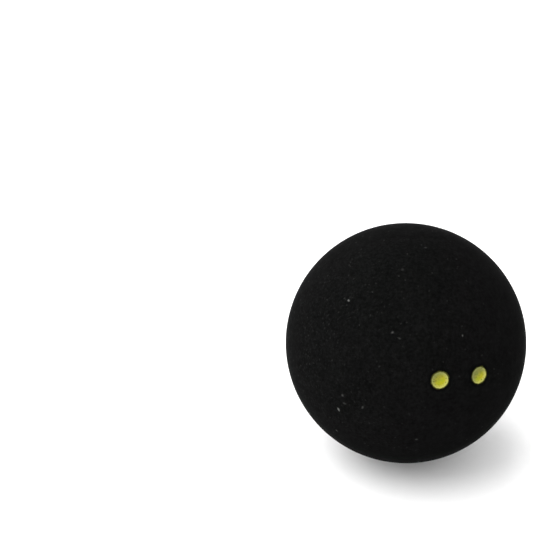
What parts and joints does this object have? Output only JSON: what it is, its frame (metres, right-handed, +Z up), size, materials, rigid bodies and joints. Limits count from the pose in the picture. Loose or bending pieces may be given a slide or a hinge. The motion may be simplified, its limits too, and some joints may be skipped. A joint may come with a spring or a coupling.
{
  "type": "squash ball",
  "caption": "Hollow round black rubber ball for a racket game, of two half shells cemented rim to rim, with a pair of small yellow dots in shallow dimples.",
  "frame": {"origin": "the ball's centre", "axes": "+Z up as the ball lies in the picture, +X to the picture's right, +Y away from its camera; the shells' moulding axis leans 32.5 degrees up from -Y"},
  "size_m": [0.04, 0.04, 0.04],
  "materials": {
    "shell_rubber": "matte, buffed, with a fine grain and a few pale flecks",
    "rim_cement": "dull cured rubber cement",
    "dot_paint": "dull yellow marking paint"
  },
  "bodies": {
    "root": {"half_shell_front": "shell_rubber", "half_shell_rear": "shell_rubber", "seam_cement": "rim_cement", "dot_left": "dot_paint", "dot_right": "dot_paint"}
  },
  "joints": []
}
